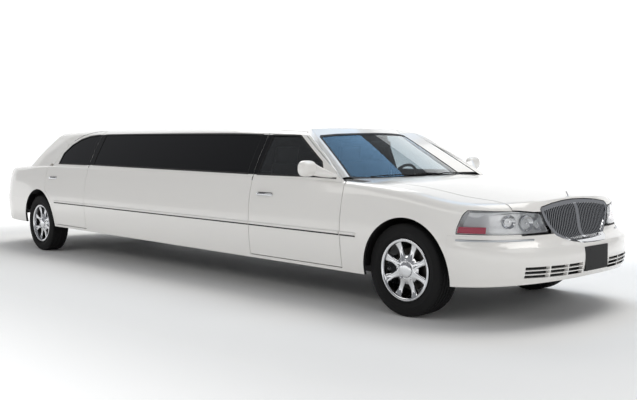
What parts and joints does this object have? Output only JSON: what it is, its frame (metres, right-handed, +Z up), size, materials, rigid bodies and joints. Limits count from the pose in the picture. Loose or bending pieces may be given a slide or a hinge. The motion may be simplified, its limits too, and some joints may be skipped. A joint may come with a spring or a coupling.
{
  "type": "stretch limousine",
  "caption": "Long six-window luxury car with hinged doors, hood and trunk lid, steered front wheels and a passenger lounge.",
  "frame": {"origin": "on the ground, under the middle of the length and width", "axes": "+X to the front, +Y to the left side, +Z up"},
  "size_m": [8.5192, 2.33, 1.5266],
  "materials": {
    "paint": "white gloss paint",
    "dark_trim": "matt black",
    "privacy_glass": "near-black privacy glass",
    "clear_glass": "clear, faint blue",
    "lamp_clear": "clear lamp cover",
    "lamp_red": "red lamp cover",
    "chrome": "bright chrome",
    "aluminium": "machined aluminium",
    "steel": "black chassis paint",
    "iron": "bare castings",
    "tyre": "black rubber",
    "leather": "black leather",
    "wood": "dark lacquered wood"
  },
  "bodies": {
    "body": {"chassis_frame": "steel", "floor_pan": "steel", "body_side_panels": "paint", "quarter_panels": "paint", "roof_panel": "paint", "cowl_panel": "dark_trim", "front_fenders": "paint", "front_bumper": "paint", "rear_bumper": "paint", "grille": "chrome", "headlamps": "lamp_clear", "tail_lamps": "lamp_red", "windshield": "clear_glass", "privacy_glass": "privacy_glass", "engine_block": "iron", "fuel_tank": "steel", "exhaust_system": "steel", "rear_axle": "iron", "front_suspension": "iron", "driveshaft": "iron", "dashboard": "dark_trim", "steering_wheel": "dark_trim", "front_seats": "leather", "partition": "dark_trim", "lounge_seats": "leather", "hinge_brackets": "iron", "radiator": "iron", "wheelhouse_liners": "dark_trim", "bar_cabinet": "wood", "rear_window": "privacy_glass", "plate_bracket": "dark_trim"},
    "hood": {"hood": "paint"},
    "trunk_lid": {"trunk_lid": "paint"},
    "front_door_right": {"front_door_right": "paint", "front_door_glass_right": "privacy_glass", "door_mirror_right": "paint"},
    "front_wheel_right": {"tyre_front_right": "tyre", "wheel_front_right": "aluminium"},
    "front_door_left": {"front_door_left": "paint", "front_door_glass_left": "privacy_glass", "door_mirror_left": "paint"},
    "front_wheel_left": {"tyre_front_left": "tyre", "wheel_front_left": "aluminium"},
    "rear_door_right": {"rear_door_right": "paint", "rear_door_glass_right": "privacy_glass"},
    "rear_wheel_right": {"tyre_rear_right": "tyre", "wheel_rear_right": "aluminium"},
    "rear_door_left": {"rear_door_left": "paint", "rear_door_glass_left": "privacy_glass"},
    "rear_wheel_left": {"tyre_rear_left": "tyre", "wheel_rear_left": "aluminium"},
    "knuckle_right": {"knuckle_right": "iron"},
    "knuckle_left": {"knuckle_left": "iron"}
  },
  "joints": [
    {"name": "front_door_right_hinge", "type": "hinge", "parent": "body", "child": "front_door_right", "pos_m": [2.5695, -0.945, 0.62], "axis": [0, 0, 1], "range_deg": [0, 65]},
    {"name": "rear_door_right_hinge", "type": "hinge", "parent": "body", "child": "rear_door_right", "pos_m": [-1.6105, -0.945, 0.66], "axis": [0, 0, 1], "range_deg": [0, 65]},
    {"name": "front_door_left_hinge", "type": "hinge", "parent": "body", "child": "front_door_left", "pos_m": [2.5695, 0.945, 0.62], "axis": [0, 0, 1], "range_deg": [-65, 0]},
    {"name": "rear_door_left_hinge", "type": "hinge", "parent": "body", "child": "rear_door_left", "pos_m": [-1.6105, 0.945, 0.66], "axis": [0, 0, 1], "range_deg": [-65, 0]},
    {"name": "hood_hinge", "type": "hinge", "parent": "body", "child": "hood", "pos_m": [2.4825, 0, 0.95742], "axis": [0, -1, 0], "range_deg": [0, 50]},
    {"name": "trunk_lid_hinge", "type": "hinge", "parent": "body", "child": "trunk_lid", "pos_m": [-3.2635, 0, 1.01488], "axis": [0, 1, 0], "range_deg": [0, 75]},
    {"name": "steering_right", "type": "hinge", "parent": "body", "child": "knuckle_right", "pos_m": [3.2245, -0.76, 0.346], "axis": [0, 0, 1], "range_deg": [-33, 33]},
    {"name": "steering_left", "type": "hinge", "parent": "body", "child": "knuckle_left", "pos_m": [3.2245, 0.76, 0.346], "axis": [0, 0, 1], "range_deg": [-33, 33]},
    {"name": "front_wheel_right_spin", "type": "hinge", "parent": "knuckle_right", "child": "front_wheel_right", "pos_m": [3.2245, -0.805, 0.346], "axis": [0, 1, 0], "continuous": true},
    {"name": "front_wheel_left_spin", "type": "hinge", "parent": "knuckle_left", "child": "front_wheel_left", "pos_m": [3.2245, 0.805, 0.346], "axis": [0, 1, 0], "continuous": true},
    {"name": "rear_wheel_right_spin", "type": "hinge", "parent": "body", "child": "rear_wheel_right", "pos_m": [-2.8135, -0.828, 0.346], "axis": [0, 1, 0], "continuous": true},
    {"name": "rear_wheel_left_spin", "type": "hinge", "parent": "body", "child": "rear_wheel_left", "pos_m": [-2.8135, 0.828, 0.346], "axis": [0, 1, 0], "continuous": true}
  ],
  "couplings": [
    {"joint": "steering_left", "follows": "steering_right", "ratio": 1}
  ]
}
